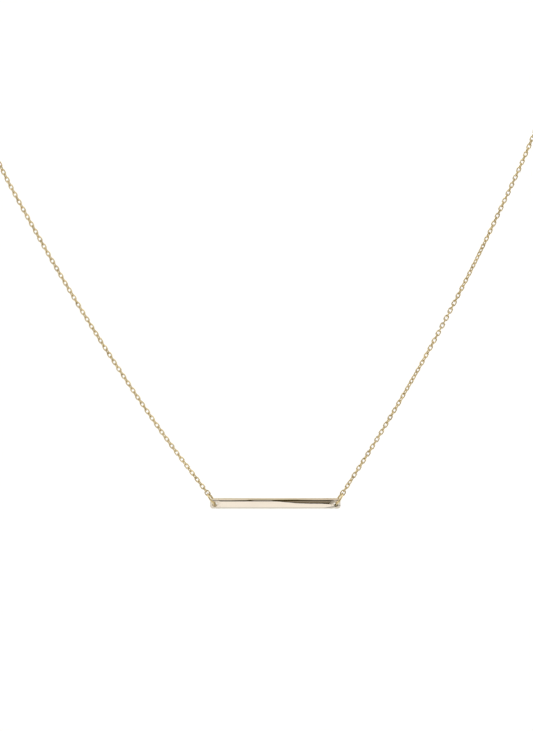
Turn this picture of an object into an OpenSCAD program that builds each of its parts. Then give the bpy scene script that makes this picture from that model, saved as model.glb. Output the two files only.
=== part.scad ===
// Bar pendant necklace: a flat gold bar hung by two jump rings from a fine cable chain.
// Millimetres. X runs along the bar, -Y is the front, +Z is up.
// The origin is at the nape, in the middle of the clasp, where the necklace is held up.

/* [Bar] */
// Length of the bar
bar_l = 30; // [24:0.5:38]
// Height of the bar's face
bar_h = 2.2; // [1.9:0.1:3]
// Thickness of the bar, front to back
bar_t = 1.5; // [0.9:0.1:1.6]
// Radius of the four corners of the face
corner_r = 0.6; // [0.3:0.05:0.9]
// Radius of the softened long edges
edge_r = 0.35; // [0.1:0.05:0.4]
// Metal left between each hole and the end of the bar
hole_wall = 0.5; // [0.3:0.05:1]
// Width of the softened rim round each hole
hole_rim = 0.08; // [0.04:0.01:0.12]

/* [Jump rings] */
// Thickness of the jump rings' wire
ring_wire = 0.45; // [0.3:0.05:0.5]
// How much wider a jump ring's opening is than the bar is thick
ring_room = 0.9; // [0.8:0.1:1.6]
// How much wider each hole is than the wire in it
hole_play = 0.6; // [0.55:0.05:0.9]
// Slope of the left jump ring
left_slope = 55; // [50:1:62]
// Slope of the right jump ring
right_slope = 57; // [50:1:64]

/* [Chain] */
// Thickness of the links' wire
link_wire = 0.28; // [0.2:0.01:0.3]
// Distance from one link to the next
link_pitch = 0.975; // [0.925:0.025:1.2]
// How much wider a link's opening is than the wire in it
link_room = 0.24; // [0.24:0.01:0.4]
// Gap between each link's end and what hangs in it
link_play = 0.13; // [0.1:0.01:0.15]
// Length of the left strand that is made of open links
left_open = 93; // [20:1:100]
// Length of the right strand that is made of open links
right_open = 97; // [20:1:100]

/* [Clasp] */
// Outer diameter of the spring ring clasp
clasp_d = 5.5; // [5:0.1:7]
// Thickness of the clasp's round tube
clasp_tube = 1.1; // [0.9:0.05:1.4]
// Thickness of the wire of the clasp's eye
eye_wire = 0.5; // [0.4:0.05:0.6]
// Inner diameter of the clasp's eye
eye_hole = 1; // [0.8:0.05:1.4]
// How much wider the end ring's opening is than the clasp's tube
end_room = 1.1; // [0.8:0.1:1.6]

/* [Hidden] */
$fn = 32;
gold = [0.86, 0.72, 0.45];

// Middle of the bar, and how far the front strands lean back from upright
bar_at = [2, -85, -104];
front_lean = 18;

// Each strand's route, from the first link at the jump ring up and round to the nape
left_points = [
    [-13.6, -84.6, -101.6], [-23.8, -80.4, -88.7], [-34.7, -75.4, -73.5], [-44.7, -70.5, -58.3],
    [-54, -65.5, -43], [-61.7, -61, -29.2], [-67.2, -55.3, -16], [-69.5, -46.5, -4],
    [-67, -34.5, 2.2], [-58.5, -21, 4], [-45, -10, 3.5], [-27, -3, 1.5], [-4.6, 0, 0]];
right_points = [
    [17.6, -84.6, -101.6], [26.2, -80.4, -88.7], [35.6, -75.4, -73.5], [44.2, -70.5, -58.3],
    [52.2, -65.5, -43], [61.9, -58.8, -22.4], [65.2, -52.5, -10.5], [66, -43, -1.5],
    [62.8, -31.5, 3], [54.5, -19.5, 4.2], [41.5, -9.5, 3.5], [25, -3, 1.5], [4.6, 0, 0]];

// How far each strand is twisted, in degrees, at some of its links
left_twist = [[0, 0], [2, 25]];
right_twist = [[0, 0], [5, -70], [13, -76], [23, -69], [32, -45], [47, 0], [65, 45], [73, 70]];

// Holes and jump rings
hole_d = ring_wire + hole_play;
hole_x = bar_l / 2 - hole_wall - hole_d / 2;
ring_r = (bar_t + ring_room + ring_wire) / 2;
ring_hang = -0.1;

// Links: the first one is wide enough for the jump ring
link_in = link_wire + link_room;
first_in = ring_wire + link_room;
link_w = link_in + 2 * link_wire;
link_l = link_pitch + 2 * link_wire + link_play;

// Covered stretch round the neck, drawn as a tube as wide as the links
tube_sides = 8;
tube_step = 3.1;
tube_gap = 0.2;
route_steps = 12;

// Clasp and end ring
clasp_r = (clasp_d - clasp_tube) / 2;
eye_r = (eye_hole + eye_wire) / 2;
eye_x = clasp_d / 2 + eye_r - eye_wire / 4;
end_r = (clasp_tube + end_room + ring_wire) / 2;
end_x = clasp_r - clasp_tube / 2 - link_play - ring_wire / 2 + end_r;
trigger_d = 0.6;
trigger_l = 0.5;
trigger_turn = -50;

// Where a jump ring's middle lies, for side -1 on the left or 1 on the right
function slope(side) = side < 0 ? left_slope : right_slope;
function ring_mid(side) = bar_at + [side * hole_x, 0, 0]
    + (ring_r + ring_hang) * [side * cos(slope(side)), 0, sin(slope(side))];

// Where the first link lies, pulled up along the strand from the jump ring
function unit(v) = v / norm(v);
function pull(side) = unit([side * cos(slope(side)), sin(slope(side)) * tan(front_lean), sin(slope(side))]);
first_link = ring_r - ring_wire / 2 - link_play - link_wire + link_l / 2;
function strand_start(side) = ring_mid(side) + first_link * pull(side);
function strand_end(side) = [side * tube_gap, 0, 0]
    + (side < 0 ? [-eye_x - eye_r - eye_wire / 2, 0, 0] : [end_x + end_r + ring_wire / 2, 0, 0]);

// The chosen points, with both ends drawn to the pieces that hold them
function route(side) = let (p = side < 0 ? left_points : right_points, last = len(p) - 1)
    [for (i = [0 : last]) p[i] + (strand_start(side) - p[0]) * (1 - i / last)
        + (strand_end(side) - p[last]) * i / last];

// A smooth curve through the points, as many fine steps
function point_or_beyond(p, i) = i < 0 ? 2 * p[0] - p[1]
    : i >= len(p) ? 2 * p[len(p) - 1] - p[len(p) - 2] : p[i];
function smooth_between(a, b, c, d, t) = (2 * b + (c - a) * t + (2 * a - 5 * b + 4 * c - d) * pow(t, 2)
    + (3 * b - a - 3 * c + d) * pow(t, 3)) / 2;
function smooth(p) = concat(
    [for (i = [0 : len(p) - 2]) for (k = [0 : route_steps - 1])
        smooth_between(point_or_beyond(p, i - 1), p[i], p[i + 1], point_or_beyond(p, i + 2),
            k / route_steps)],
    [p[len(p) - 1]]);

// Tables of x, y and z against the length along a curve
function lengths(c, i = 0, sum = 0) = i == len(c) - 1 ? [sum]
    : concat([sum], lengths(c, i + 1, sum + norm(c[i + 1] - c[i])));
function tables(c) = let (s = lengths(c))
    [for (axis = [0 : 2]) [for (i = [0 : len(c) - 1]) [s[i], c[i][axis]]]];
function at(t, s) = [for (axis = [0 : 2]) lookup(s, t[axis])];
function total(t) = t[0][len(t[0]) - 1][0];
function heading(t, s) = unit(at(t, min(s + 0.5, total(t))) - at(t, max(s - 0.5, 0)));

left_table = tables(smooth(route(-1)));
right_table = tables(smooth(route(1)));
function link_count(open_l) = floor(open_l / link_pitch);
function tube_start(open_l) = (link_count(open_l) - 1) * link_pitch + link_l / 2 + tube_gap;

// A rectangle with rounded corners, lying flat and centred
module rounded(w, h, r) {
    square([w - 2 * r, h], center = true);
    square([w, h - 2 * r], center = true);
    for (x = [-1, 1], y = [-1, 1]) translate([x * (w / 2 - r), y * (h / 2 - r)]) circle(r);
}

// The bar: its three outlines meet, so every edge is softened
module bar_blank() {
    intersection() {
        rotate([90, 0, 0]) linear_extrude(bar_t, center = true) rounded(bar_l, bar_h, corner_r);
        rotate([90, 0, 90]) linear_extrude(bar_l, center = true) rounded(bar_t, bar_h, edge_r);
        linear_extrude(bar_h, center = true) rounded(bar_l, bar_t, edge_r);
    }
}

// A hole through the bar from front to back, with a softened rim on each face
module hole() {
    rotate([90, 0, 0]) cylinder(d = hole_d, h = bar_t + 2, center = true);
    for (face = [-90, 90])
        rotate([face, 0, 0]) translate([0, 0, bar_t / 2 - hole_rim])
            cylinder(d1 = hole_d, d2 = hole_d + 4 * hole_rim, h = 2 * hole_rim);
}

module bar() {
    color(gold) translate(bar_at) difference() {
        bar_blank();
        for (side = [-1, 1]) translate([side * hole_x, 0, 0]) hole();
    }
}

// A closed round ring of wire, lying flat
module wire_ring(r, wire) {
    rotate_extrude() translate([r, 0]) circle(d = wire);
}

// A jump ring stands across the bar, in line with its strand
module jump_ring(side) {
    color(gold) translate(ring_mid(side)) rotate([0, -side * slope(side), 0]) wire_ring(ring_r, ring_wire);
}

// One link: two half rings joined by two straight sides, lying flat with its length along Y
module link(opening) {
    bend = (opening + link_wire) / 2;
    straight = link_l - opening - 2 * link_wire;
    for (turn = [0, 180]) rotate([0, 0, turn]) {
        translate([0, straight / 2, 0]) rotate_extrude(angle = 180)
            translate([bend, 0]) circle(d = link_wire);
        translate([bend, 0, 0]) rotate([90, 0, 0]) cylinder(d = link_wire, h = straight, center = true);
    }
}

// Open links along a strand, each a quarter turn from the last, with the strand's own twist
module open_links(t, twist, count) {
    forward = [0, -cos(front_lean), sin(front_lean)];
    for (i = [0 : count - 1]) {
        along = heading(t, i * link_pitch);
        across = unit(cross(along, forward));
        face = cross(across, along);
        p = at(t, i * link_pitch);
        multmatrix([[across[0], along[0], face[0], p[0]], [across[1], along[1], face[1], p[1]],
            [across[2], along[2], face[2], p[2]]])
            rotate([0, i % 2 * 90 + lookup(i, twist), 0]) link(i == 0 ? first_in : link_in);
    }
}

module chain_front(side) {
    color(gold) if (side < 0) open_links(left_table, left_twist, link_count(left_open));
    else open_links(right_table, right_twist, link_count(right_open));
}

// The covered stretch: a tube of the chain's width swept along the rest of the route
module tube(t, from) {
    steps = ceil((total(t) - from) / tube_step);
    points = [for (k = [0 : steps]) let (s = from + (total(t) - from) * k / steps, along = heading(t, s),
            across = unit(cross(along, [0, 0, 1])), up = cross(across, along))
        for (j = [0 : tube_sides - 1]) let (turn = j * 360 / tube_sides)
            at(t, s) + link_w / 2 * (cos(turn) * across + sin(turn) * up)];
    walls = [for (k = [0 : steps - 1]) for (j = [0 : tube_sides - 1])
        let (a = k * tube_sides, next = (j + 1) % tube_sides)
            [a + j, a + next, a + tube_sides + next, a + tube_sides + j]];
    start_cap = [for (j = [tube_sides - 1 : -1 : 0]) j];
    end_cap = [for (j = [0 : tube_sides - 1]) steps * tube_sides + j];
    polyhedron(points, concat(walls, [start_cap], [end_cap]));
}

module chain_back(side) {
    color(gold) tube(side < 0 ? left_table : right_table, tube_start(side < 0 ? left_open : right_open));
}

// The spring ring clasp with its eye on the left and its trigger below
module clasp() {
    color(gold) {
        rotate([90, 0, 0]) wire_ring(clasp_r, clasp_tube);
        translate([-eye_x, 0, 0]) rotate([90, 0, 0]) wire_ring(eye_r, eye_wire);
        rotate([0, -trigger_turn, 0]) translate([clasp_r, 0, 0]) rotate([0, 90, 0])
            cylinder(d = trigger_d, h = clasp_tube / 2 + trigger_l);
    }
}

// The end ring on the right strand, hooked through the clasp
module end_ring() {
    color(gold) translate([end_x, 0, 0]) wire_ring(end_r, ring_wire);
}

bar();
jump_ring(-1);  // jump_ring_left
jump_ring(1);  // jump_ring_right
chain_front(-1);  // chain_left_front
chain_front(1);  // chain_right_front
chain_back(-1);  // chain_left_back
chain_back(1);  // chain_right_back
clasp();
end_ring();
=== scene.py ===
# %% [markdown]
# # A bar pendant necklace in polished gold
# A slim gold bar hangs level between two strands of fine cable chain. The bar is one link of the
# loop: each end has a hole, a jump ring goes through it, and the strand hooks into the ring.
#
# The solid model already fixes every size and place, so this lesson starts by loading it. What
# is left is what the eye sees: the polish, the softened edges, the wire and its solder joints.

# %% Load the solid model
import math

import bmesh
import bpy
import numpy as np
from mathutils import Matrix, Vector


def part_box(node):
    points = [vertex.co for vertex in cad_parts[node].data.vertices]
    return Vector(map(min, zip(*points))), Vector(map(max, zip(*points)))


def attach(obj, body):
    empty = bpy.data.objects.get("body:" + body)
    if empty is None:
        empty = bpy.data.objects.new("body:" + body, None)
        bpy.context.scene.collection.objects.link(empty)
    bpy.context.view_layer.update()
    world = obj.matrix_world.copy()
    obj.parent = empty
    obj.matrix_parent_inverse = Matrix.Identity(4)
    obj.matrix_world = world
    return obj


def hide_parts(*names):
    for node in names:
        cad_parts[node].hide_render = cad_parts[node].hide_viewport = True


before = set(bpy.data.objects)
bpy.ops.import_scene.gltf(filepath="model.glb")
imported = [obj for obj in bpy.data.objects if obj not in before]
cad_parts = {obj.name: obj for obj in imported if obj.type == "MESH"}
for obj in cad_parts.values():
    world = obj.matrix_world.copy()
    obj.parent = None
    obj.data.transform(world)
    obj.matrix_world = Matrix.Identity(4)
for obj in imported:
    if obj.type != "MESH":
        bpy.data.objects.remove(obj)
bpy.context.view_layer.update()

MM = 0.001

# %% [markdown]
# ## The camera
# The photo looks at the bar from the front and a little above: its top side shows as a thin
# band. A short lens up close would bend the strands apart, so a long lens far away is the
# better choice here. One pixel is then the same size all along the bar, and the bar's middle
# is laid on the pixel where the photo has it.

# %% Set the camera
PHOTO_W = 533
PHOTO_H = 731
BAR_PIXEL = (275.4, 503.4)
LOOK_DOWN = math.radians(18)
DISTANCE = 1.2
LENS = 256.5
SENSOR = 36
CLIP_NEAR = 0.01
CLIP_FAR = 100

bar_low, bar_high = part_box("bar")
bar_mid = (bar_low + bar_high) / 2
pixel = DISTANCE * SENSOR / LENS / PHOTO_H
picture_right = Vector((1, 0, 0))
picture_up = Vector((0, math.sin(LOOK_DOWN), math.cos(LOOK_DOWN)))
to_camera = Vector((0, -math.cos(LOOK_DOWN), math.sin(LOOK_DOWN)))
across_px = PHOTO_W / 2 - BAR_PIXEL[0]
up_px = BAR_PIXEL[1] - PHOTO_H / 2
aim = bar_mid + pixel * (across_px * picture_right + up_px * picture_up)

camera = bpy.data.objects.new("camera", bpy.data.cameras.new("camera"))
bpy.context.scene.collection.objects.link(camera)
camera.location = aim + DISTANCE * to_camera
camera.rotation_euler = (math.pi / 2 - LOOK_DOWN, 0, 0)
camera.data.lens = LENS
camera.data.sensor_width = SENSOR
camera.data.clip_start = CLIP_NEAR
camera.data.clip_end = CLIP_FAR
bpy.context.scene.camera = camera
print("one pixel is", round(pixel / MM, 4), "mm at the bar")

# %% [markdown]
# ## Writing shaders as sums
# A shader is a graph of nodes, and a graph that is clicked together is hard to read in a
# script. Here one small class wraps a socket, and adding or multiplying two of them adds the
# Math node. Numbers alone stay in Python. Every other kind of node comes from the one method
# called node, which sets the node up first and then fills its sockets.

# %% A socket that can be added and multiplied
class Wire:
    """One socket of a node tree."""

    def __init__(self, tree, socket=None):
        self.tree = tree
        self.socket = socket

    def node(self, kind, settings=None, inputs=None, output=0):
        made = self.tree.nodes.new(kind)
        for name, value in (settings or {}).items():
            setattr(made, name, value)
        for name, value in (inputs or {}).items():
            if isinstance(value, Wire):
                self.tree.links.new(value.socket, made.inputs[name])
            else:
                made.inputs[name].default_value = value
        return Wire(self.tree, made.outputs[output] if made.outputs else None)

    def out(self, name):
        return Wire(self.tree, self.socket.node.outputs[name])

    def math(self, operation, first, second):
        return self.node("ShaderNodeMath", {"operation": operation}, {0: first, 1: second})

    def __add__(self, other):
        return self.math("ADD", self, other)

    def __radd__(self, other):
        return self.math("ADD", other, self)

    def __sub__(self, other):
        return self.math("SUBTRACT", self, other)

    def __rsub__(self, other):
        return self.math("SUBTRACT", other, self)

    def __mul__(self, other):
        return self.math("MULTIPLY", self, other)

    def __rmul__(self, other):
        return self.math("MULTIPLY", other, self)

    def __abs__(self):
        return self.math("ABSOLUTE", self, 0.0)

    def step(self, low, high):
        """0 below low and 1 above high, with a soft rise between them."""
        return self.node("ShaderNodeMapRange", {"interpolation_type": "SMOOTHSTEP"},
                         {"Value": self, "From Min": low, "From Max": high})


def rgba(colour):
    return (*colour, 1.0)


def mix_colours(mask, colour_a, colour_b):
    """colour_a where the mask is 0 and colour_b where it is 1."""
    a, b = (c if isinstance(c, Wire) else rgba(c) for c in (colour_a, colour_b))
    return mask.node("ShaderNodeMix", {"data_type": "RGBA"}, {0: mask, 6: a, 7: b}, output=2)


print("shader helper ready")

# %% [markdown]
# ## The floor
# Jewellery is photographed on white. A sheet of paper would show its rim and a hung backdrop its
# bend, so the floor is one wide plain square, dull and nearly white. It lies well below the
# necklace, so that no sharp shadow falls on it, and fills the bar's front face with light.

# %% Lay the floor
FLOOR_Z = -0.25
FLOOR_HALF = 6.0
FLOOR_COLOUR = (0.945, 0.95, 0.97)

floor_mesh = bpy.data.meshes.new("floor")
floor_corners = [(x * FLOOR_HALF, y * FLOOR_HALF, FLOOR_Z)
                 for x, y in ((-1, -1), (1, -1), (1, 1), (-1, 1))]
floor_mesh.from_pydata(floor_corners, [], [(0, 1, 2, 3)])
floor = bpy.data.objects.new("floor", floor_mesh)
bpy.context.scene.collection.objects.link(floor)

floor_paint = bpy.data.materials.new("pale_floor")
floor_paint.use_nodes = True
floor_shader = floor_paint.node_tree.nodes["Principled BSDF"]
floor_shader.inputs["Base Color"].default_value = rgba(FLOOR_COLOUR)
floor_shader.inputs["Roughness"].default_value = 1.0
floor_shader.inputs["Specular IOR Level"].default_value = 0.0
floor_mesh.materials.append(floor_paint)
print("floor", round((bar_low.z - FLOOR_Z) / MM), "mm below the bar")

# %% [markdown]
# ## The room
# A polished bar has hardly any colour of its own: it shows what stands around it, so the room
# is the paint. A real room would need many cards and lamps. A sky that is worked out from the
# direction does the same with fewer parts, and it is the same from wherever one looks.
#
# - The dark gap where the photographer stands draws the dark line along the upper edge.
# - A paler strip low in that gap gives the dark wedge on the bar's face its middle tone.
# - The warm back of the room colours the top side.
# - The bright sides light the floor and put the sparkle on the chain.
#
# Heights in the room are given in degrees above level. How far something lies to a side is
# squared before it is used, so that left and right are alike.

# %% What stands in the room
ROOM_LOW = (0.66, 0.59, 0.38)
ROOM_HIGH = (1.0, 1.0, 1.0)
ROOM_FADE = (20, 70)
SIDE_LIGHT = (2.5, 2.5, 2.5)
SIDE_HEIGHT = (30, 78)
SIDE_HEIGHT_SOFT = 0.08
SIDE_ACROSS = (0.20, 1.1)
SIDE_ACROSS_SOFT = 0.12
GAP_DARK = (0.042, 0.033, 0.007)
GAP_TOP = (62, 80)
GAP_ACROSS = (0.18, 0.32)
GAP_DEPTH = (-0.35, -0.1)
STRIP_TONE = (0.34, 0.305, 0.25)
STRIP_HEIGHT = (4.4, 9)
STRIP_SOFT = 0.014
BACKDROP_WHITE = (1.0, 1.0, 1.0)


def heights(degrees):
    """How high on a round sky those angles above level lie."""
    return [math.sin(math.radians(angle)) for angle in degrees]


def band(value, low, high, soft):
    """1 between low and high, with soft edges."""
    return value.step(low - soft, low + soft) * (1 - value.step(high - soft, high + soft))


print("the gap's paler strip lies at", [round(h, 3) for h in heights(STRIP_HEIGHT)])

# %% Paint the room
world = bpy.data.worlds.new("room")
bpy.context.scene.world = world
world.use_nodes = True
world.node_tree.nodes.clear()
sky = Wire(world.node_tree)
look = sky.node("ShaderNodeTexCoord", output="Generated")
way = sky.node("ShaderNodeSeparateXYZ", inputs={0: look})
across, depth, height = way.out("X"), way.out("Y"), way.out("Z")

room = mix_colours(height.step(*heights(ROOM_FADE)), ROOM_LOW, ROOM_HIGH)
side_light = (band(across * across, *SIDE_ACROSS, SIDE_ACROSS_SOFT)
              * band(height, *heights(SIDE_HEIGHT), SIDE_HEIGHT_SOFT))
room = mix_colours(side_light, room, SIDE_LIGHT)
front = (1 - depth.step(*GAP_DEPTH)) * (1 - (across * across).step(*GAP_ACROSS))
gap = front * (1 - height.step(*heights(GAP_TOP)))
room = mix_colours(gap, room, GAP_DARK)
strip = front * band(height, *heights(STRIP_HEIGHT), STRIP_SOFT)
room = mix_colours(strip, room, STRIP_TONE)

lit = sky.node("ShaderNodeBackground", inputs={"Color": room, "Strength": 1.0})
plain = sky.node("ShaderNodeBackground",
                 inputs={"Color": rgba(BACKDROP_WHITE), "Strength": 1.0})
seen = sky.node("ShaderNodeLightPath", output="Is Camera Ray")
both = sky.node("ShaderNodeMixShader", inputs={0: seen, 1: lit, 2: plain})
sky.node("ShaderNodeOutputWorld", inputs={"Surface": both})
bpy.context.scene.view_settings.view_transform = "Standard"
print("room with", len(world.node_tree.nodes), "nodes")

# %% [markdown]
# ## Gold
# The metal is a yellow gold alloy, paler than pure gold. Every piece is the same full metal
# with a low roughness, and two finishes show. The wire is drawn and tumbled bright, and is made
# here. The bar is mirror polished, and gets its own finish further on, once its sizes are
# known; its base colour is a paler, washed-out copy of the same gold, a painted highlight.
# Scanned scratches would need pictures, so noise that is worked out from the place on the
# piece does their work. It is faint: it only keeps the reflections from being dead straight.

# %% Help for any metal
def metal(name):
    """An empty full-metal material: its tree's start and its shader node."""
    paint = bpy.data.materials.new(name)
    paint.use_nodes = True
    shader = paint.node_tree.nodes["Principled BSDF"]
    shader.inputs["Metallic"].default_value = 1.0
    return paint, Wire(paint.node_tree), shader


def join(start, shader, name, value):
    start.tree.links.new(value.socket, shader.inputs[name])


def grain(start, per_mm, detail):
    """Fine noise, stretched by how often it repeats in a millimetre along x, y and z."""
    place = start.node("ShaderNodeTexCoord", output="Object")
    scale = tuple(n / MM for n in per_mm)
    scaled = start.node("ShaderNodeVectorMath", {"operation": "MULTIPLY"}, {0: place, 1: scale})
    return start.node("ShaderNodeTexNoise",
                      inputs={"Vector": scaled, "Scale": 1.0, "Detail": detail})


def dent(start, shader, height, depth, strength):
    """Tilts the surface as dents of that depth would."""
    bump = start.node("ShaderNodeBump",
                      inputs={"Strength": strength, "Distance": depth, "Height": height})
    join(start, shader, "Normal", bump)


print("metal helpers ready")

# %% The finish of the wire
WIRE_GOLD = (0.665, 0.55, 0.33)
WIRE_SHADE_GOLD = (0.47, 0.375, 0.21)
SHADE_PER_MM = (0.9, 0.9, 0.9)
SHADE_FADE = (0.45, 0.75)
RUB_PER_MM = (7.0, 7.0, 7.0)
WIRE_ROUGH = 0.12
WIRE_RUB_ROUGH = 0.10
WIRE_DENT = 0.003 * MM
WIRE_DENT_STRENGTH = 0.15


def drawn_wire(name):
    paint, start, shader = metal(name)
    shade = grain(start, SHADE_PER_MM, detail=2.0)
    rub = grain(start, RUB_PER_MM, detail=3.0)
    colour = mix_colours(shade.step(*SHADE_FADE), WIRE_GOLD, WIRE_SHADE_GOLD)
    join(start, shader, "Base Color", colour)
    join(start, shader, "Roughness", WIRE_ROUGH + WIRE_RUB_ROUGH * rub)
    dent(start, shader, rub, WIRE_DENT, WIRE_DENT_STRENGTH)
    return paint


wire_gold = drawn_wire("drawn_wire_gold")
chain_gold = drawn_wire("chain_gold")
print("wire finishes:", wire_gold.name, chain_gold.name)

# %% [markdown]
# ## From arrays to a piece
# Every piece below is worked out as arrays of points and four-sided faces. This helper turns
# them into a smooth mesh, welds what meets, gives it its gold, hides the solid that it stands
# for, and says which body it moves with.

# %% Make a piece
WELD = 2e-7


def welded(name, points, faces):
    """An object from points and faces, with what meets welded and every face looking outward."""
    mesh = bpy.data.meshes.new(name)
    mesh.from_pydata([tuple(p) for p in points], [], [tuple(f) for f in faces])
    work = bmesh.new()
    work.from_mesh(mesh)
    bmesh.ops.remove_doubles(work, verts=work.verts, dist=WELD)
    bmesh.ops.recalc_face_normals(work, faces=work.faces)
    for face in work.faces:
        face.smooth = True
    work.to_mesh(mesh)
    work.free()
    made = bpy.data.objects.new(name, mesh)
    bpy.context.scene.collection.objects.link(made)
    return made


def make_piece(name, points, faces, paint, body, stands_for):
    piece = welded(name, points, faces)
    piece.data.materials.append(paint)
    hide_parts(stands_for)
    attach(piece, body)
    print(name, "has", len(piece.data.vertices), "points")


print("points closer than", round(WELD / MM, 4), "mm are welded")

# %% [markdown]
# ## The bar
# The real bar is cut from flat wire, drilled at both ends, and polished until no edge is sharp.
# A plain block with a bevel would have the edge, but not the places where the polishing wheel
# took off more. So the skin is built from sheets of points, which can be bent afterwards: two
# flat faces, a rounded rim that goes all round, and the two holes.

# %% Sheets of points
def quads(rows, columns):
    """The faces of a sheet with that many rows and columns of points."""
    corner = np.arange(rows * columns).reshape(rows, columns)
    ring = (corner[:-1, :-1], corner[:-1, 1:], corner[1:, 1:], corner[1:, :-1])
    return np.stack([c.ravel() for c in ring], axis=1)


def stack(sheets):
    """Several sheets, each rows x columns x 3, as one list of points and one of faces."""
    points, faces, count = [], [], 0
    for sheet in sheets:
        rows, columns = sheet.shape[:2]
        points.append(sheet.reshape(-1, 3))
        faces.append(quads(rows, columns) + count)
        count += rows * columns
    return np.concatenate(points), np.concatenate(faces)


def rounded_rim(thickness, radius, steps):
    """How far out, and how far forward or back, a softened rim runs from face to face."""
    turn = np.linspace(0, math.pi / 2, steps + 1)
    out = radius * np.sin(turn)
    depth = thickness / 2 - radius * (1 - np.cos(turn))
    return np.concatenate([out, out[::-1]]), np.concatenate([-depth, depth[::-1]])


print("a sheet of 3 x 4 points has", len(quads(3, 4)), "faces")

# %% The bar's sizes
CORNER_R = 0.6 * MM
EDGE_R = 0.35 * MM
HOLE_R = 0.525 * MM
HOLE_WALL = 0.5 * MM
HOLE_RIM = 0.08 * MM
HOLE_TO_PATCH = 0.75 * MM
ROWS = 41
STATIONS = 121

bar_l, bar_t, bar_h = bar_high - bar_low
hole_x = bar_l / 2 - HOLE_WALL - HOLE_R
patch_x = hole_x - HOLE_TO_PATCH
flat_h = bar_h / 2 - EDGE_R
rows_z = np.linspace(-flat_h, flat_h, ROWS)
stations_x = np.linspace(-patch_x, patch_x, STATIONS)
print("bar in mm:", [round(v / MM, 2) for v in (bar_l, bar_t, bar_h)])

# %% The edge of one end
STRAIGHT_STEPS = 6
CORNER_STEPS = 8
END_STEPS = 4


def bar_end():
    """The edge of one end's flat face, from the inside round to the inside.

    Each row is a point's x and z, and its outward direction.
    """
    corner_x = bar_l / 2 - CORNER_R
    corner_z = bar_h / 2 - CORNER_R
    inner_r = CORNER_R - EDGE_R
    straight = np.linspace(patch_x, corner_x, STRAIGHT_STEPS + 1)[:-1]
    turn = np.linspace(math.pi / 2, 0, CORNER_STEPS + 1)
    top = [(x, flat_h, 0, 1) for x in straight]
    bend = [(corner_x + inner_r * math.cos(a), corner_z + inner_r * math.sin(a),
             math.cos(a), math.sin(a)) for a in turn]
    down = np.linspace(corner_z, 0, END_STEPS + 1)[1:]
    end = [(bar_l / 2 - EDGE_R, z, 1, 0) for z in down]
    upper = np.array(top + bend + end)
    lower = upper[:-1][::-1] * [1, -1, 1, -1]
    return np.concatenate([upper, lower])


print("the edge of one end has", len(bar_end()), "points")

# %% Every sheet of the bar's skin
EDGE_STEPS = 10
HOLE_STEPS = 4
SPOKE_POINTS = 5


def middle_sheets():
    """Both flat faces between the ends, and the two long edges."""
    sheets = []
    for face in (-1, 1):
        x, z = np.meshgrid(stations_x, rows_z, indexing="ij")
        sheets.append(np.stack([x, np.full_like(x, face * bar_t / 2), z], axis=2))
    out, depth = rounded_rim(bar_t, EDGE_R, EDGE_STEPS)
    for long_side in (-1, 1):
        x, n = np.meshgrid(stations_x, np.arange(len(out)), indexing="ij")
        sheets.append(np.stack([x, depth[n], long_side * (flat_h + out[n])], axis=2))
    return sheets


def end_sheet(end, flat, depth):
    """A sheet at the left or right end, from places on the face and how deep they lie."""
    deep = np.broadcast_to(depth, flat.shape[:2])
    return np.stack([end * flat[..., 0], deep, flat[..., 1]], axis=2)


def end_sheets(end):
    """Both flat faces round one hole, the edge round them, and the hole's wall."""
    out, depth = rounded_rim(bar_t, EDGE_R, EDGE_STEPS)
    hole_out, hole_depth = rounded_rim(bar_t, HOLE_RIM, HOLE_STEPS)
    edge = bar_end()
    inside = np.stack([np.full(len(rows_z), patch_x), rows_z], axis=1)
    around = np.concatenate([edge[:, :2], inside[1:]])[:, None, :]
    spoke = np.arctan2(around[:, 0, 1], around[:, 0, 0] - hole_x)
    spoke_way = np.stack([np.cos(spoke), np.sin(spoke)], axis=1)[:, None, :]
    hole_mid = np.array([hole_x, 0.0])
    start = hole_mid + (HOLE_R + HOLE_RIM) * spoke_way
    flat = start + (around - start) * np.linspace(0, 1, SPOKE_POINTS)[None, :, None]
    rim = edge[:, None, :2] + edge[:, None, 2:] * out[None, :, None]
    wall = hole_mid + (HOLE_R + HOLE_RIM - hole_out)[None, :, None] * spoke_way
    return [end_sheet(end, flat, -bar_t / 2), end_sheet(end, flat, bar_t / 2),
            end_sheet(end, rim, depth), end_sheet(end, wall, hole_depth)]


bar_points, bar_faces = stack(middle_sheets() + end_sheets(-1) + end_sheets(1))
print("bar skin:", len(bar_points), "points before welding")

# %% [markdown]
# ## What the polishing wheel took off
# The wheel rounds the faces a little towards their long sides, eases the front's upper edge more
# in some places than in others, and towards the right end it has left a slim facet. The photo
# shows that as a dark wedge. The facet goes 0.17 millimetres deep where it is deepest, and the
# rest less, which is hard to feel under a sculpting brush. So each is a short list of places
# along the bar, with what is gone there, and the skin is moved by what lies between them.

# %% Where the wheel went
CROWN_TILT = math.radians(2.5)
FACET_TILT = math.radians(11)
FACET_SOFT = 0.05 * MM
FACET = np.array([
    # mm along the bar, mm up its face where the facet starts
    (-13.2, 0.75), (-12.4, 0.70), (0.0, 0.70), (1.3, 0.61), (2.4, 0.48), (3.6, 0.38),
    (4.8, 0.24), (6.0, 0.18), (8.2, 0.12), (10.5, 0.11), (11.6, 0.06), (12.4, -0.02),
    (13.0, -0.02), (13.6, 0.3), (13.9, 0.7),
])
EASE = np.array([
    # mm along the bar, mm taken off the edge, tilt in degrees, how sharp it was before
    (-10.5, 0.0, 30, 2.0), (-6.5, 0.008, 34, 2.2), (-5.0, 0.042, 39, 4.5),
    (-0.8, 0.042, 39, 4.5), (0.4, 0.03, 30, 4.0), (4.4, 0.03, 30, 4.0),
    (6.0, 0.012, 30, 2.4), (9.0, 0.0, 30, 2.0),
])
facet_x, facet_z = FACET.T * MM
ease_x, ease_depth = EASE.T[:2] * MM
ease_tilt, ease_sharp = np.radians(EASE[:, 2]), EASE[:, 3]
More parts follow.
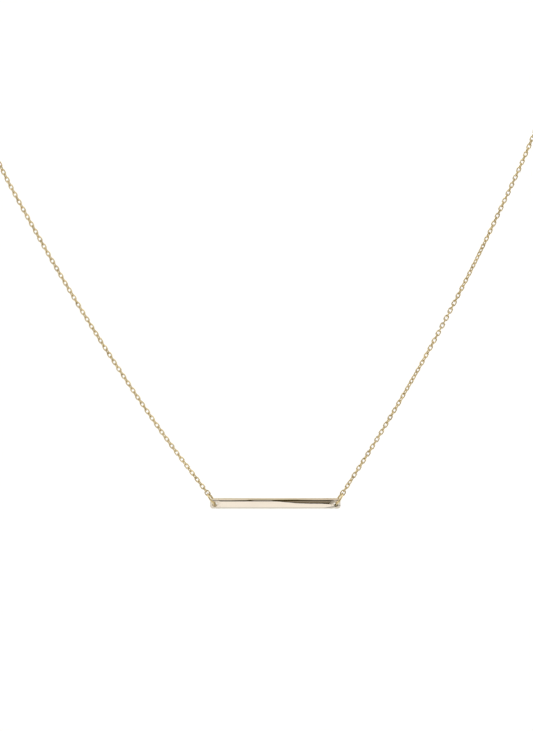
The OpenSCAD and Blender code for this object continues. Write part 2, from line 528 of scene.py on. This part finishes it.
print("the wheel took", round(ease_depth.max() / MM, 3), "mm off the edge at most")

# %% Polish the skin
LEAST = 1e-6
OFF_THE_FLAT = 0.01


def sharper(y, z, power):
    """Draws the front's upper edge out from a round towards a corner.

    A power of 2 leaves the long edge round. The rim at the bar's own rounded corners is drawn
    out too, which leaves a small ledge on the front half of the two upper ones.
    """
    front_y = -(bar_t / 2 - EDGE_R)
    ahead = np.clip((front_y - y) / EDGE_R, LEAST, None)
    above = np.clip((z - flat_h) / EDGE_R, LEAST, None)
    grow = (ahead ** power + above ** power) ** (-1 / power)
    inside = (ahead > OFF_THE_FLAT) & (above > OFF_THE_FLAT)
    return (np.where(inside, front_y - ahead * grow * EDGE_R, y),
            np.where(inside, flat_h + above * grow * EDGE_R, z))


def polish(points):
    """Eases the front's upper edge, crowns both faces, and tilts the slim facet."""
    x, y, z = points.T
    y, z = sharper(y, z, np.interp(x, ease_x, ease_sharp))
    tilt = np.interp(x, ease_x, ease_tilt)
    out_y, out_z = -np.cos(tilt), np.sin(tilt)
    edge = (bar_t / 2 - EDGE_R) * -out_y + flat_h * out_z + EDGE_R
    proud = np.maximum(0, y * out_y + z * out_z - edge + np.interp(x, ease_x, ease_depth))
    y, z = y - proud * out_y, z - proud * out_z
    share = y / (bar_t / 2)
    crown = math.tan(CROWN_TILT) * z * z / bar_h
    above = (z - np.interp(x, facet_x, facet_z)) / FACET_SOFT
    held = np.interp(x, facet_x[[0, 1, -2, -1]], [0, 1, 1, 0])
    facet = math.tan(FACET_TILT) * FACET_SOFT * np.logaddexp(0, above) * held
    return np.stack([x, y - share * crown + np.clip(-share, 0, 1) * facet, z], axis=1)


polished = polish(bar_points)
moved = np.linalg.norm(polished - bar_points, axis=1).max()
print("the polish moved the skin by", round(moved / MM, 3), "mm at most")

# %% [markdown]
# ## The bar's finish
# A mirror polish is nearly nothing to look at, so the small places where it differs tell the
# eye that this is metal. Its scratches are far finer than a hair and run along the bar, as the
# wheel went. Much of what else shows is painted light and shade in the base colour. The ends
# and the underside are painted greyer, a painted shade, and the top side is painted darker and
# browner towards the right, also a painted shade. The drilled holes are painted dark, a painted
# shade in the recess, and round them the jump rings have rubbed the polish dull. At the right
# end a slanting grey line is painted along the lower edge, a painted reflection. Painting these
# by hand on the mesh would also do, but a mask that is worked out from the place on the bar
# stays sharp from close by.

# %% Where the finish changes, in mm from the bar's middle
TOP_SHADE_UP = (0.95, 1.08)
TOP_SHADE_ALONG = (-1, 12)
END_ALONG = (14.55, 14.85)
UNDER_DOWN = (0.62, 0.76)
HOLE_SOFT = 0.05
HOLE_UP = (-0.4, -0.2)
RUBBED_SQUARED = (0.8, 3.6)
SLANT_SLOPE = 0.16
SLANT_DROP = 2.668
SLANT_HALF = 0.10
SLANT_SOFT = 0.06
SLANT_ALONG = (10.6, 12.4)


def bar_masks(start):
    """Masks for the painted shade of the top, ends, underside and holes, the rubbed places, and
    the slanting painted reflection.
    """
    place = start.node("ShaderNodeTexCoord", output="Object")
    parts = start.node("ShaderNodeSeparateXYZ", inputs={0: place})
    along = (parts.out("X") - bar_mid.x) * (1 / MM)
    up = (parts.out("Z") - bar_mid.z) * (1 / MM)
    # Painted shade: the top side is painted darker and browner towards the right.
    top_shade = up.step(*TOP_SHADE_UP) * along.step(*TOP_SHADE_ALONG)
    # Painted shade: the ends and the underside get a greyer gold, where the reflections would run
    # darker.
    end = (along * along).step(END_ALONG[0] ** 2, END_ALONG[1] ** 2)
    edges = 1 - (1 - end) * (1 - (0 - up).step(*UNDER_DOWN))
    from_hole = abs(along) - hole_x / MM
    far = from_hole * from_hole + up * up
    wall = HOLE_R / MM
    # Painted shade in the holes: their walls are painted a dark gold.
    hole = (1 - far.step(wall ** 2, (wall + HOLE_SOFT) ** 2)) * up.step(*HOLE_UP)
    rubbed = 1 - far.step(*RUBBED_SQUARED)
    # Painted reflection: a slanting grey line along the lower edge at the right end.
    line = band(up - SLANT_SLOPE * along + SLANT_DROP, -SLANT_HALF, SLANT_HALF, SLANT_SOFT)
    return top_shade, edges, hole, rubbed, line * along.step(*SLANT_ALONG)


print("holes at", round(hole_x / MM, 3), "mm to both sides")

# %% Finish the bar
# The bar's base gold is painted paler and greyer than the wire's gold: a painted highlight, the
# washed-out look of a face that reflects bright light.
BAR_PALE_HIGHLIGHT_GOLD = (0.87, 0.78, 0.67)
# Painted shade: the ends and the underside are painted greyer.
ENDS_UNDERSIDE_SHADE_GOLD = (0.60, 0.56, 0.48)
# Painted shade on the top side, darker and browner towards the right.
TOP_PAINTED_SHADE_GOLD = (0.75, 0.63, 0.52)
# Painted shade: dark gold in the drilled holes.
HOLE_PAINTED_SHADE_GOLD = (0.36, 0.29, 0.19)
# Painted reflection: the slanting grey line.
SLANT_REFLECTION_GOLD = (0.30, 0.28, 0.25)
CLOUD_SHADE = 0.97
CLOUD_PER_MM = (0.18, 0.5, 0.5)
CLOUD_FADE = (0.35, 0.75)
LINES_PER_MM = (0.25, 9.0, 9.0)
BAR_ROUGH = 0.035
LINES_ROUGH = 0.05
RUBBED_ROUGH = 0.30
BAR_DENT = 0.002 * MM
BAR_DENT_STRENGTH = 0.12


def polished_bar():
    paint, start, shader = metal("polished_bar_gold")
    lines = grain(start, LINES_PER_MM, detail=3.0)
    cloud = grain(start, CLOUD_PER_MM, detail=1.0)
    top_shade, edges, hole, rubbed, slant_reflection = bar_masks(start)
    cloud_gold = tuple(CLOUD_SHADE * c for c in BAR_PALE_HIGHLIGHT_GOLD)
    colour = mix_colours(cloud.step(*CLOUD_FADE), BAR_PALE_HIGHLIGHT_GOLD, cloud_gold)
    # Painted light and shade laid over the gold: the painted shade of the top, the ends and
    # underside, and the holes, and the slanting painted reflection.
    for mask, other in ((top_shade, TOP_PAINTED_SHADE_GOLD), (edges, ENDS_UNDERSIDE_SHADE_GOLD),
                        (slant_reflection, SLANT_REFLECTION_GOLD), (hole, HOLE_PAINTED_SHADE_GOLD)):
        colour = mix_colours(mask, colour, other)
    join(start, shader, "Base Color", colour)
    join(start, shader, "Roughness", BAR_ROUGH + LINES_ROUGH * lines + RUBBED_ROUGH * rubbed)
    dent(start, shader, lines, BAR_DENT, BAR_DENT_STRENGTH)
    return paint


make_piece("polished_bar", polished + np.array(bar_mid), bar_faces, polished_bar(),
           "bar", "bar")

# %% [markdown]
# ## Wire loops
# Jump rings, links, the end ring and the clasp are all wire bent into a flat loop. A curve with
# a round bevel would give each, but one thickness all round. Here one function sweeps a round
# section along such a loop, and the section's radius may change along the way. That is how a
# solder joint shows: as a hairline or a slight swelling.

# %% Sweep a section round a flat loop
JOINT_PLACES = np.array([-0.06, -0.03, 0.0, 0.03, 0.06]) * MM
GROOVE_WIDTH = 0.03 * MM


def wire_loop(path, radii, sides):
    """Points and faces of a wire of those radii along a closed path in the xy plane."""
    ahead = np.roll(path, -1, axis=0) - np.roll(path, 1, axis=0)
    ahead /= np.linalg.norm(ahead, axis=1)[:, None]
    outward = np.stack([ahead[:, 1], -ahead[:, 0]], axis=1)
    turn = np.arange(sides) * 2 * math.pi / sides
    flat = path[:, None, :] + (radii[:, None] * np.cos(turn))[..., None] * outward[:, None, :]
    lift = radii[:, None] * np.sin(turn)
    points = np.concatenate([flat, lift[..., None]], axis=2).reshape(-1, 3)
    index = np.arange(len(path) * sides).reshape(len(path), sides)
    after = np.roll(index, -1, axis=0)
    ring = (index, np.roll(index, -1, axis=1), np.roll(after, -1, axis=1), after)
    return points, np.stack([c.ravel() for c in ring], axis=1)


def round_loop(radius, wire, steps, sides, joint, depth):
    """A closed ring with a fine groove where its ends are soldered."""
    turns = np.linspace(0, 2 * math.pi, steps, endpoint=False)[1:]
    turns = np.sort(np.concatenate([turns, JOINT_PLACES / radius])) + joint
    path = radius * np.stack([np.cos(turns), np.sin(turns)], axis=1)
    away = (turns - joint) * radius / GROOVE_WIDTH
    return wire_loop(path, wire / 2 * (1 - depth * np.exp(-away * away)), sides)


print("wire loop helper ready")

# %% [markdown]
# ## Jump rings
# A jump ring is a turn of round wire, closed through the bar's hole and soldered. A torus would
# do from afar, but it has no joint. The joint is turned up into the strand, where the chain
# covers it. The ring stands across the bar, in line with the pull of its strand, so from the
# front it shows nearly edge on.

# %% Two jump rings
LEFT, RIGHT = -1, 1
SIDE_NAME = {LEFT: "left", RIGHT: "right"}
SLOPE = {LEFT: math.radians(55), RIGHT: math.radians(57)}
RING_WIRE = 0.45 * MM
RING_STEPS = 72
RING_SIDES = 20
RING_JOINT = math.radians(35)
GROOVE_DEPTH = 0.10


def box_mid(node):
    low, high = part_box(node)
    return np.array((low + high) / 2)


ring_mid = {side: box_mid("jump_ring_" + SIDE_NAME[side]) for side in (LEFT, RIGHT)}
ring_low, ring_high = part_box("jump_ring_left")
ring_r = (ring_high.y - ring_low.y - RING_WIRE) / 2


def ring_frame(side):
    """The ring's own x, y and z: up the strand, to the front, and across the wire."""
    up_strand = np.array([side * math.cos(SLOPE[side]), 0, math.sin(SLOPE[side])])
    front_way = np.array([0.0, -1.0, 0.0])
    return np.stack([up_strand, front_way, np.cross(up_strand, front_way)])


for side in (LEFT, RIGHT):
    loop_points, loop_faces = round_loop(ring_r, RING_WIRE, RING_STEPS, RING_SIDES, RING_JOINT,
                                         GROOVE_DEPTH)
    placed = loop_points @ ring_frame(side) + ring_mid[side]
    make_piece("ring_" + SIDE_NAME[side], placed, loop_faces, wire_gold, "necklace",
               "jump_ring_" + SIDE_NAME[side])

# %% [markdown]
# ## The route of the two strands
# The chain hangs in nearly straight lines to the neck, goes round it, and meets behind. A cloth
# or rope simulation could hang it, but it would not land on the photo. So the route is a short
# list of chosen points, the same ones as the solid model's, with a smooth curve through them
# that is measured along its length.

# %% The chosen points, in metres
ROUTE = {
    LEFT: [(-0.0136, -0.0846, -0.1016), (-0.0238, -0.0804, -0.0887), (-0.0347, -0.0754, -0.0735),
           (-0.0447, -0.0705, -0.0583), (-0.054, -0.0655, -0.043), (-0.0617, -0.061, -0.0292),
           (-0.0672, -0.0553, -0.016), (-0.0695, -0.0465, -0.004), (-0.067, -0.0345, 0.0022),
           (-0.0585, -0.021, 0.004), (-0.045, -0.01, 0.0035), (-0.027, -0.003, 0.0015),
           (-0.0046, 0.0, 0.0)],
    RIGHT: [(0.0176, -0.0846, -0.1016), (0.0262, -0.0804, -0.0887), (0.0356, -0.0754, -0.0735),
            (0.0442, -0.0705, -0.0583), (0.0522, -0.0655, -0.043), (0.0619, -0.0588, -0.0224),
            (0.0652, -0.0525, -0.0105), (0.066, -0.043, -0.0015), (0.0628, -0.0315, 0.003),
            (0.0545, -0.0195, 0.0042), (0.0415, -0.0095, 0.0035), (0.025, -0.003, 0.0015),
            (0.0046, 0.0, 0.0)],
}
print("chosen points:", [len(ROUTE[side]) for side in (LEFT, RIGHT)])

# %% Where each strand starts and ends
FRONT_LEAN = math.radians(18)
LINK_WIRE = 0.28 * MM
LINK_PITCH = 0.975 * MM
LINK_ROOM = 0.24 * MM
LINK_PLAY = 0.13 * MM
TUBE_GAP = 0.2 * MM
EYE_WIRE = 0.5 * MM
link_l = LINK_PITCH + 2 * LINK_WIRE + LINK_PLAY
clasp_low, clasp_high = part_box("clasp")
end_low, end_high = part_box("end_ring")


def unit(v):
    return v / np.linalg.norm(v)


def strand_start(side):
    """The middle of the first link, which pulls on the jump ring."""
    rise = math.sin(SLOPE[side])
    pull = unit(np.array([side * math.cos(SLOPE[side]), rise * math.tan(FRONT_LEAN), rise]))
    return ring_mid[side] + (ring_r - RING_WIRE / 2 - LINK_PLAY - LINK_WIRE + link_l / 2) * pull


clasp_link_x = clasp_low.x + EYE_WIRE + LINK_PLAY + LINK_WIRE - link_l / 2
end_link_x = end_high.x - RING_WIRE - LINK_PLAY - LINK_WIRE + link_l / 2
last_link = {LEFT: np.array([clasp_link_x, 0, 0]), RIGHT: np.array([end_link_x, 0, 0])}
strand_end = {LEFT: np.array([clasp_low.x - TUBE_GAP, 0, 0]),
              RIGHT: np.array([end_high.x + TUBE_GAP, 0, 0])}
print("last links at x in mm:", [round(last_link[side][0] / MM, 2) for side in (LEFT, RIGHT)])

# %% A smooth curve, measured along its length
ROUTE_STEPS = 12
HEADING_REACH = 0.5 * MM


def smooth_route(side):
    """A curve through the chosen points, shifted so that its ends meet what they hook into."""
    chosen = np.array(ROUTE[side])
    share = np.linspace(0, 1, len(chosen))[:, None]
    start_off = strand_start(side) - chosen[0]
    end_off = strand_end[side] - chosen[-1]
    chosen = chosen + start_off * (1 - share) + end_off * share
    before = 2 * chosen[0] - chosen[1]
    after = 2 * chosen[-1] - chosen[-2]
    full = np.concatenate([[before], chosen, [after]])
    curve = []
    for a, b, c, d in zip(full, full[1:], full[2:], full[3:]):
        for t in np.arange(ROUTE_STEPS) / ROUTE_STEPS:
            curve.append((2 * b + (c - a) * t + (2 * a - 5 * b + 4 * c - d) * t ** 2
                          + (3 * b - a - 3 * c + d) * t ** 3) / 2)
    return np.array(curve + [chosen[-1]])


class Route:
    """A curve that gives the place and the heading at any length along it."""

    def __init__(self, side):
        self.curve = np.concatenate([smooth_route(side), [last_link[side]]])
        steps = np.linalg.norm(np.diff(self.curve, axis=0), axis=1)
        self.length = np.concatenate([[0], np.cumsum(steps)])
        self.total = self.length[-1]

    def at(self, s):
        return np.array([np.interp(s, self.length, self.curve[:, k]) for k in range(3)])

    def heading(self, s):
        ahead = self.at(min(s + HEADING_REACH, self.total))
        behind = self.at(max(s - HEADING_REACH, 0))
        return unit(ahead - behind)


routes = {side: Route(side) for side in (LEFT, RIGHT)}
print("strands in mm:", [round(routes[side].total / MM, 2) for side in (LEFT, RIGHT)])

# %% [markdown]
# ## A link of cable chain
# Each link is an oval of round wire, soldered shut in the middle of one long side. A stretched
# torus would thin the wire, so the same sweep is used as for the rings, along two half turns
# and two straights. The first and last link of a strand are wider, as rings must pass through
# them.
#
# The solid model keeps its links a tenth of a millimetre apart, so that each is checked as a
# loose piece. In a chain under its own weight every link rests on the next. Here both ends of
# a link are drawn in by most of that gap, which also rounds the openings, as the photo has them.

# %% One link
LINK_TAUT = 0.045 * MM
LINK_SIDES = 10
BEND_POINTS = 11
SEAM_PLACES = np.array([0.1, 0.04, 0.0, -0.04, -0.1]) * MM
PLAIN_SIDE_HALF = 0.08 * MM
SWELLING = 0.10
SWELLING_WIDTH = 0.05 * MM


def link_loop(opening):
    """An oval link lying flat with its length along y, with its solder joint on one side."""
    bend_r = (opening + LINK_WIRE) / 2
    half = link_l / 2 - LINK_TAUT - opening / 2 - LINK_WIRE
    turn = np.linspace(0, math.pi, BEND_POINTS)
    top = np.stack([bend_r * np.cos(turn), half + bend_r * np.sin(turn)], axis=1)
    seam = np.array([[-bend_r, y] for y in SEAM_PLACES])
    plain_side = np.array([[bend_r, -PLAIN_SIDE_HALF], [bend_r, PLAIN_SIDE_HALF]])
    path = np.concatenate([top, seam, -top, plain_side])
    away = path[:, 1] / SWELLING_WIDTH
    swell = np.where(path[:, 0] < 0, SWELLING * np.exp(-away * away), 0.0)
    return wire_loop(path, LINK_WIRE / 2 * (1 + swell), LINK_SIDES)


link_points, link_faces = link_loop(LINK_WIRE + LINK_ROOM)
wide_points, _ = link_loop(RING_WIRE + LINK_ROOM)
link_drawn_l = link_l - 2 * LINK_TAUT
print("one link:", len(link_points), "points,", round(link_drawn_l / MM, 2), "mm long")

# %% [markdown]
# ## How the links lie
# Each link goes through the last at a quarter turn, so every second one shows its opening. An
# array modifier along a curve would stretch the links in the bends, so each is placed on its
# own: at its step along the route, turned to the heading there. A hanging chain keeps some
# twist, so the strands turn slowly, as the photo shows: halfway up the right one, the links
# that faced us have turned edge on. Round the neck they turn on until the last one lies right
# for what holds it. No link lies quite like the next, so each is also rolled by a degree or two
# from a seeded list.

# %% Places and headings along a strand
FRONT_LINKS = {LEFT: 95, RIGHT: 99}
forward = np.array([0.0, -math.cos(FRONT_LEAN), math.sin(FRONT_LEAN)])


def stations(side):
    """How far along the strand each link lies: at the chain's own step in front, fitted behind."""
    front_s = LINK_PITCH * np.arange(FRONT_LINKS[side])
    rest = routes[side].total - front_s[-1]
    count = round(rest / LINK_PITCH)
    return np.concatenate([front_s, front_s[-1] + rest * np.arange(1, count + 1) / count])


def faces_along(side, places):
    """Which way each link's flat side looks before its quarter turn."""
    looks = []
    for i, s in enumerate(places):
        along = routes[side].heading(s)
        wish = forward if i < FRONT_LINKS[side] else looks[-1]
        looks.append(unit(wish - np.dot(wish, along) * along))
    return looks


print("links to place:", [len(stations(side)) for side in (LEFT, RIGHT)])

# %% Turn the links
# A strand's twist is a few pairs: a link's number, and the degrees that it is turned by.
TWIST = {LEFT: [(0, 0), (2, 25)],
         RIGHT: [(0, 0), (5, -70), (13, -76), (23, -69), (32, -45), (47, 0), (65, 45), (73, 70)]}
LAST_FACES = {LEFT: np.array([0.0, 0.0, 1.0]), RIGHT: np.array([0.0, 1.0, 0.0])}
ROLL = math.radians(2.5)
ROLL_SEED = 7


def last_turn(side, places, look, turn):
    """The turn that the last link still needs to lie right for what holds it."""
    across = np.cross(routes[side].heading(places[-1]), look)
    target = LAST_FACES[side]
    angle = math.atan2(np.dot(target, across), np.dot(target, look)) - turn
    return (angle + math.pi / 2) % math.pi - math.pi / 2


def strand_turns(side, places, looks):
    """How far each link is turned: a quarter or none, the twist, and its small roll."""
    number = np.arange(len(places))
    turns = number % 2 * math.pi / 2 + np.radians(np.interp(number, *zip(*TWIST[side])))
    spare = last_turn(side, places, looks[-1], turns[-1])
    rolls = np.random.default_rng(ROLL_SEED + side).normal(0, ROLL, len(places))
    rolls[[0, -1]] = 0
    front = FRONT_LINKS[side]
    behind = np.clip((number - front) / (number[-1] - front), 0, 1)
    print(SIDE_NAME[side], "strand turns on by", round(math.degrees(spare), 1), "degrees behind")
    return turns + (rolls + spare * behind)


def place_link(points, side, s, look, turn):
    along = routes[side].heading(s)
    across = np.cross(along, look)
    turned_look = math.cos(turn) * look + math.sin(turn) * across
    turned_across = np.cross(along, turned_look)
    return points @ np.stack([turned_across, along, turned_look]) + routes[side].at(s)


# %% Make the four stretches of chain
def make_strand(side):
    places = stations(side)
    looks = faces_along(side, places)
    turns = strand_turns(side, places, looks)
    last = len(places) - 1
    shapes = [wide_points if n in (0, last) else link_points for n in range(len(places))]
    placed = [place_link(points, side, *link)
              for points, *link in zip(shapes, places, looks, turns)]
    front = FRONT_LINKS[side]
    for stretch, links in (("front", placed[:front]), ("back", placed[front:])):
        every = np.concatenate([link_faces + len(link_points) * i for i in range(len(links))])
        name = SIDE_NAME[side] + "_" + stretch
        make_piece("links_" + name, np.concatenate(links), every, chain_gold,
                   "necklace", "chain_" + name)


for side in (LEFT, RIGHT):
    make_strand(side)

# %% [markdown]
# ## Clasp
# The photo hides the fastening, so it is the plain one that such a chain has: a spring ring.
# Its tube is bent round, a thinner bolt slides in it and closes its mouth, and a small knob
# moves the bolt. It could be three pieces, but a clasp that stays shut behind the neck needs
# only one. The tube and the bolt are one wire loop whose radius steps down along the mouth,
# and the knob and the eye that holds the chain are fused on.

# %% The clasp's sizes
CLASP_D = 5.5 * MM
CLASP_TUBE = 1.1 * MM
CLASP_STEPS = 120
CLASP_SIDES = 24
BOLT_SHARE = 0.72
MOUTH_FROM = math.radians(62)
MOUTH_TO = math.radians(108)
SHOULDER = math.radians(1.5)
EYE_HOLE = 1.0 * MM
EYE_STEPS = 48
EYE_SIDES = 16
KNOB_D = 0.6 * MM
KNOB_L = 0.5 * MM
KNOB_TURN = math.radians(50)
KNOB_STEPS = 16
KNOB_PROFILE = [(0.0, 0.0), (0.38, 0.0), (0.38, 0.6), (0.5, 0.68), (0.5, 0.88), (0.4, 1.0),
                (0.0, 1.0)]

clasp_r = (CLASP_D - CLASP_TUBE) / 2
eye_r = (EYE_HOLE + EYE_WIRE) / 2
print("clasp", round(CLASP_D / MM, 1), "mm, eye", round(EYE_HOLE / MM, 1), "mm inside")

# %% The clasp's parts
def clasp_body():
    """The tube, which steps down to the thinner bolt along the mouth."""
    turns = np.linspace(0, 2 * math.pi, CLASP_STEPS, endpoint=False)
    steps = [MOUTH_FROM - SHOULDER, MOUTH_FROM, MOUTH_TO, MOUTH_TO + SHOULDER]
    turns = np.unique(np.concatenate([turns, steps]))
    path = clasp_r * np.stack([np.cos(turns), np.sin(turns)], axis=1)
    thick = np.interp(turns, steps, [1, BOLT_SHARE, BOLT_SHARE, 1])
    return wire_loop(path, CLASP_TUBE / 2 * thick, CLASP_SIDES)


def knob():
    """A short round peg with a domed head, standing out from the tube."""
    length = CLASP_TUBE / 2 + KNOB_L
    turn = np.linspace(0, 2 * math.pi, KNOB_STEPS + 1)
    rows = [[(length * up, KNOB_D * out * math.cos(a), KNOB_D * out * math.sin(a)) for a in turn]
            for out, up in KNOB_PROFILE]
    return stack([np.array(rows)])


def fused(parts):
    """One mesh from several overlapping closed ones."""
    first, *others = parts
    for other in others:
        union = first.modifiers.new("union", "BOOLEAN")
        union.operation = "UNION"
        union.solver = "EXACT"
        union.object = other
    bpy.context.view_layer.update()
    done = first.evaluated_get(bpy.context.evaluated_depsgraph_get()).to_mesh()
    points = np.array([v.co for v in done.vertices])
    faces = [tuple(f.vertices) for f in done.polygons]
    first.to_mesh_clear()
    for part in parts:
        bpy.data.objects.remove(part)
    return points, faces


print("the knob has", len(knob()[0]), "points before welding")

# %% Fuse the clasp
UPRIGHT = np.array([[1.0, 0, 0], [0, 0, 1.0], [0, 1.0, 0]])
knob_way = np.array([[math.cos(KNOB_TURN), 0, -math.sin(KNOB_TURN)], [0, 1, 0],
                     [math.sin(KNOB_TURN), 0, math.cos(KNOB_TURN)]])
eye_mid = np.array([clasp_low.x + EYE_WIRE / 2 + eye_r, 0, 0])
body_points, body_faces = clasp_body()
eye_points, eye_faces = round_loop(eye_r, EYE_WIRE, EYE_STEPS, EYE_SIDES, 0.0, 0.0)
knob_points, knob_faces = knob()
clasp_points, clasp_faces = fused([
    welded("clasp_tube", body_points @ UPRIGHT, body_faces),
    welded("clasp_eye", eye_points @ UPRIGHT + eye_mid, eye_faces),
    welded("clasp_knob", knob_points @ knob_way + clasp_r * knob_way[0], knob_faces),
])
make_piece("spring_ring_clasp", clasp_points, clasp_faces, wire_gold, "necklace",
           "clasp")

# %% [markdown]
# ## End ring
# The clasp hooks into a plain ring at the end of the right strand. Some necklaces have a flat
# tag there, but a soldered jump ring is the usual thing, so it comes from the same loop as the
# other two.

# %% The end ring
END_JOINT = math.radians(70)
end_r = (end_high.x - end_low.x - RING_WIRE) / 2
end_points, end_faces = round_loop(end_r, RING_WIRE, RING_STEPS, RING_SIDES, END_JOINT,
                                   GROOVE_DEPTH)
make_piece("ring_end", end_points + box_mid("end_ring"), end_faces, wire_gold,
           "necklace", "end_ring")
